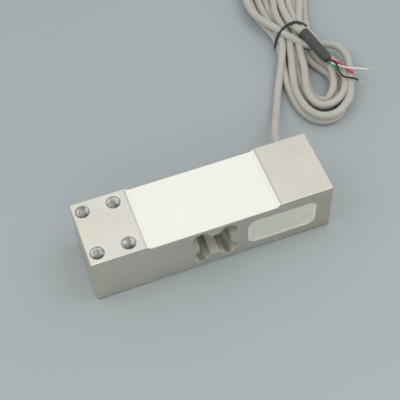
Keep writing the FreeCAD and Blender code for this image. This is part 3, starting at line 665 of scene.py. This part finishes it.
tie_mesh = ribbon_ring("tie_ribbon", tie_outline, ribbon_half_width, ribbon_half_thickness)
slope = tan(tie_lean)
tie_place = Matrix(
    (
        (cos(waist_turn), 0, 0, waist.x),
        (sin(waist_turn), slope, -1, waist.y - waist.z * slope),
        (0, 1, 0, 0),
        (0, 0, 0, 1),
    )
)
tie_mesh.transform(tie_place)
tie = add_piece("tie_ribbon", tie_mesh, ribbon_finish)
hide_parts("cable_tie")
print("tie", len(tie_mesh.vertices), "vertices")

# %% [markdown]
# ## The sleeve
# Where the jacket stops, a black sleeve has been shrunk over it. Shrinking leaves shallow
# rings along it, and its last few millimetres grip the bundle of wires. A turned piece is
# one profile spun round an axis, so the rings are only steps in that profile.


# %% Finished meshes
def mesh_from(bm, name, start=None, direction=None, smooth=False):
    """Writes a bmesh into a named mesh, with its Z axis laid along a direction if one is given."""
    bmesh.ops.recalc_face_normals(bm, faces=bm.faces)
    if direction:
        turn = direction.to_track_quat("Z", "Y").to_matrix().to_4x4()
        bmesh.ops.transform(bm, matrix=Matrix.Translation(start) @ turn, verts=bm.verts)
    for face in bm.faces:
        face.smooth = smooth
    mesh = bpy.data.meshes.new(name)
    bm.to_mesh(mesh)
    bm.free()
    return mesh


def turned(name, profile, start, direction, around=32):
    """A profile of (radius, distance) spun round an axis from a start point."""
    bm = bmesh.new()
    points = [bm.verts.new((radius, 0, distance)) for radius, distance in profile]
    edges = [bm.edges.new(pair) for pair in zip(points, points[1:])]
    edges.append(bm.edges.new((points[-1], points[0])))
    bmesh.ops.spin(
        bm,
        geom=points + edges,
        cent=(0, 0, 0),
        axis=(0, 0, 1),
        dvec=(0, 0, 0),
        angle=2 * pi,
        steps=around,
        use_merge=True,
    )
    bmesh.ops.remove_doubles(bm, verts=bm.verts, dist=0.000001)
    return mesh_from(bm, name, start, direction, smooth=True)


# %% Sleeve
sleeve_start, sleeve_end = Vector((0.1193, 0.1216, 0.0136)), Vector((0.1247, 0.0918, 0.0134))
sleeve_length = (sleeve_end - sleeve_start).length
sleeve_finish = grained_finish(
    "shrunk_sleeve", (0.068, 0.076, 0.070), (0.046, 0.051, 0.048), 0.5, 1100, 260, 0.00006
)
bore, neck_bore, groove, crest = 0.00255, 0.00195, 0.00345, 0.0036
ring_pitch, neck_length = 0.0016, 0.0035
sleeve_profile = [(bore, 0.0), (0.0032, 0.0), (groove, 0.0003)]
distance = ring_pitch / 2
while distance < sleeve_length - neck_length:
    sleeve_profile += [
        (crest, distance - ring_pitch / 4),
        (groove, distance + ring_pitch / 4),
    ]
    distance += ring_pitch
sleeve_profile += [
    (0.0035, sleeve_length - 0.0024),
    (0.0031, sleeve_length - 0.0012),
    (0.0026, sleeve_length - 0.0004),
    (0.0023, sleeve_length),
    (neck_bore, sleeve_length),
    (neck_bore, sleeve_length - 0.0045),
    (bore, sleeve_length - 0.0052),
]
sleeve_mesh = turned("shrunk_sleeve", sleeve_profile, sleeve_start, sleeve_end - sleeve_start)
sleeve = add_piece("shrunk_sleeve", sleeve_mesh, sleeve_finish)
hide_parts("heat_shrink_sleeve")
print("sleeve", round(sleeve_length, 4), "long,", len(sleeve_mesh.polygons), "faces")

# %% [markdown]
# ## The wires
# Four thin wires leave the sleeve and spread. Each one starts inside the sleeve, in its own
# quarter of the bundle, and runs on the same kind of smooth line as the cable. It is kept as
# a mesh, because the width of some changes along them, and ends in a tip of tinned strands.

# %% Wire routes
wire_radius, wire_gap = 0.00065, 0.0001
start_inside, straight_outside = 0.005, 0.0005
wire_routes = {
    "red": (1, 1, [
        (0.1278, 0.0908, 0.0129), (0.1300, 0.0884, 0.0124), (0.1326, 0.0849, 0.0121),
        (0.1336, 0.0812, 0.0119), (0.1347, 0.0786, 0.0117), (0.1366, 0.0769, 0.0114),
    ]),
    "white": (1, -1, [
        (0.1262, 0.0884, 0.0127), (0.1283, 0.0864, 0.0127), (0.1309, 0.0834, 0.0130),
        (0.1340, 0.0805, 0.0134), (0.1379, 0.0789, 0.0130), (0.1421, 0.0777, 0.0123),
        (0.1470, 0.0758, 0.0113),
    ]),
    "black": (-1, 1, [
        (0.1259, 0.0905, 0.0137), (0.1278, 0.0886, 0.0140), (0.1282, 0.0856, 0.0138),
        (0.1272, 0.0822, 0.0132), (0.1272, 0.0778, 0.0127), (0.1293, 0.0744, 0.0122),
        (0.1332, 0.0727, 0.0120), (0.1356, 0.0709, 0.0117), (0.1368, 0.0691, 0.0115),
    ]),
    "green": (-1, -1, [
        (0.1259, 0.0899, 0.0124), (0.1268, 0.0876, 0.0121), (0.1272, 0.0852, 0.0119),
        (0.1275, 0.0832, 0.0116), (0.1274, 0.0815, 0.0114),
    ]),
}
wire_swell = {  # the width at each point, where it isn't the same all along
    "red": [1, 1.1, 1.15, 1.15, 1.1, 1.1, 1.45, 1.5],
    "green": [1, 1.15, 1.2, 1.2, 1.2, 1.1, 1],
}
print("points on each wire", {colour: len(run) for colour, (_, _, run) in wire_routes.items()})

# %% Tinned tips
tip_length, tip_radius, tip_overlap = 0.0036, 0.0006, 0.0003
tinned = grained_finish(
    "tinned_strands", (0.70, 0.67, 0.60), (0.46, 0.44, 0.40), 0.35, 2500, 900, 0.00004, metal=0.7
)
print("tips", tip_length, "long, in", tinned.name)


def twisted_tip(name, start, direction, lifts=8, twist=radians(22), hollow=0.78, taper=0.7):
    """A short rope of strands: a lobed ring pulled along its axis and turned as it goes."""
    bm = bmesh.new()
    made = bmesh.ops.create_circle(bm, cap_ends=True, radius=tip_radius, segments=14)
    for vert in made["verts"][1::2]:
        vert.co *= hollow
    face = bm.faces[:]
    turn = Matrix.Rotation(twist, 3, "Z")
    for _ in range(lifts):
        pulled = bmesh.ops.extrude_face_region(bm, geom=face)
        face = [g for g in pulled["geom"] if isinstance(g, bmesh.types.BMFace)]
        verts = [g for g in pulled["geom"] if isinstance(g, bmesh.types.BMVert)]
        bmesh.ops.translate(bm, verts=verts, vec=(0, 0, tip_length / lifts))
        bmesh.ops.rotate(bm, verts=verts, cent=(0, 0, 0), matrix=turn)
    bmesh.ops.scale(bm, verts=verts, vec=(taper, taper, 1))
    bmesh.ops.holes_fill(bm, edges=[e for e in bm.edges if e.is_boundary])
    return mesh_from(bm, name, start, direction)


# %% Wires
sleeve_axis = (sleeve_end - sleeve_start).normalized()
aside = Vector((0, 0, 1)).cross(sleeve_axis).normalized()
above = sleeve_axis.cross(aside)
wires, tips = [], []
for colour, (side, height, run) in wire_routes.items():
    quarter = (aside * side + above * height) * (wire_radius + wire_gap / 2)
    route = [
        sleeve_end - sleeve_axis * start_inside + quarter,
        sleeve_end + sleeve_axis * straight_outside + quarter,
        *(Vector(place) for place in run),
    ]
    carrier = round_line("carrier", route, wire_radius, 2, 8)
    for point, swell in zip(carrier.data.splines[0].points, wire_swell.get(colour, [])):
        point.radius = swell
    wire_mesh = bpy.data.meshes.new_from_object(carrier)
    bpy.data.objects.remove(carrier)
    for face in wire_mesh.polygons:
        face.use_smooth = True
    wire = add_piece("wire_" + colour, wire_mesh, insulation[colour])
    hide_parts("wire_end_" + colour)
    wires.append(wire)
    onward = (route[-1] - route[-2]).normalized()
    tip_mesh = twisted_tip("tip_" + colour, route[-1] - onward * tip_overlap, onward)
    tips.append(add_piece("tip_" + colour, tip_mesh, tinned))
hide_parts("wire_tips")
print("wires", [w.name for w in wires], "tips", len(tips))

# %% Cable length
print("cable declared, measured", round(cable_length, 4))

# %% [markdown]
# ## Screw threads
# The holes in the solids are smooth at the thread's outer size. A real thread is a ridge
# that winds down the wall, so one small profile is spun round the hole's axis and moved on
# by one pitch in each turn. The ridge's back lies just inside the metal.

# %% Threads
thread_pitch = 0.00125
thread_root, thread_crest = 0.00405, 0.00335
root_half, crest_half = 0.46 * thread_pitch, 0.07 * thread_pitch
steps_a_turn = 20


def thread_ridge(name, centre, top, bottom):
    """A closed helical ridge down a hole, from its first turn to its last."""
    turns = int((top - bottom) / thread_pitch)
    steps = turns * steps_a_turn
    profile = [
        (thread_root, -root_half),
        (thread_root, root_half),
        (thread_crest, crest_half),
        (thread_crest, -crest_half),
    ]
    bm = bmesh.new()
    start = top - root_half
    verts = [bm.verts.new((centre[0] + r, centre[1], start + z)) for r, z in profile]
    face = bm.faces.new(verts)
    bmesh.ops.spin(
        bm,
        geom=[face] + verts + face.edges[:],
        cent=(centre[0], centre[1], 0),
        axis=(0, 0, 1),
        dvec=(0, 0, -(top - bottom - 2 * root_half) / steps),
        angle=2 * pi * turns,
        steps=steps,
    )
    bmesh.ops.holes_fill(bm, edges=[e for e in bm.edges if e.is_boundary])
    return mesh_from(bm, name)


thread_finish = grained_finish(
    "cut_thread",
    light=(0.95, 0.95, 0.92),
    dark=(0.20, 0.195, 0.19),
    rough=0.32,
    grain=950,
    patch=350,
    bump=0.00002,
    stretch=(1, 1, 0.05),
    metal=1.0,
)
for end, middle, top, bottom in (
    ("load_end", -hole_group, 0.0386, 0.0222),
    ("fixed_end", hole_group, 0.0062, 0.0007),
):
    for i, x in enumerate((middle - hole_along, middle + hole_along)):
        for j, y in enumerate((-hole_across, hole_across)):
            name = f"thread_{end}_{i}{j}"
            ridge = thread_ridge(name, (x, y), top, bottom)
            add_piece(name, ridge, thread_finish)
            print(name, len(ridge.polygons), "faces")

# %% [markdown]
# ## Table and light
# The table is a plain pale sheet, and painted light makes it a little lighter towards the camera.
# Soft square lamps hang to the right, to the left and in front, and the world fills in the rest.

# %% Table
table_size, table_height = 3.0, -0.0002
bm = bmesh.new()
bmesh.ops.create_grid(bm, x_segments=2, y_segments=2, size=table_size)
bmesh.ops.translate(bm, verts=bm.verts, vec=(0, 0, table_height))
table_mesh = bpy.data.meshes.new("table_top")
bm.to_mesh(table_mesh)
bm.free()
table_finish = grained_finish(
    "pale_table", (0.375, 0.42, 0.432), (0.365, 0.41, 0.422), 0.7, 300, 6, 0.0
)
table_depth = place_axes(table_finish)[1]
# painted light: the table is lighter towards the camera
tint(table_finish, ramp(table_depth, 0.25, -0.25), (1.15, 1.15, 1.155))
table_mesh.materials.append(table_finish)
table = bpy.data.objects.new("table_top", table_mesh)
bpy.context.scene.collection.objects.link(table)
print("table", table_mesh.name, "at", table_height)

# %% Light
world = bpy.data.worlds.new("studio")
world.use_nodes = True
background = world.node_tree.nodes["Background"]
background.inputs["Color"].default_value = (1.0, 1.0, 0.99, 1)
background.inputs["Strength"].default_value = 0.77
bpy.context.scene.world = world
lamp_aim = Vector((0, 0.02, 0))


def soft_lamp(name, place, size, watts):
    """A square area lamp that shines from a place towards the bar."""
    lamp_data = bpy.data.lights.new(name, "AREA")
    lamp_data.size = size
    lamp_data.energy = watts
    lamp = bpy.data.objects.new(name, lamp_data)
    lamp.location = place
    lamp.rotation_mode = "QUATERNION"
    lamp.rotation_quaternion = (Vector(place) - lamp_aim).to_track_quat("Z", "Y")
    bpy.context.scene.collection.objects.link(lamp)


soft_lamp("right_softbox", (0.75, -0.1, 1.3), 0.9, 3.1)
soft_lamp("left_softbox", (-0.8, 0.1, 1.2), 0.9, 2.2)
soft_lamp("front_softbox", (0.25, -1.25, 0.85), 0.5, 1.0)
bpy.context.scene.view_settings.view_transform = "Standard"

# %% Done
print("scene built")
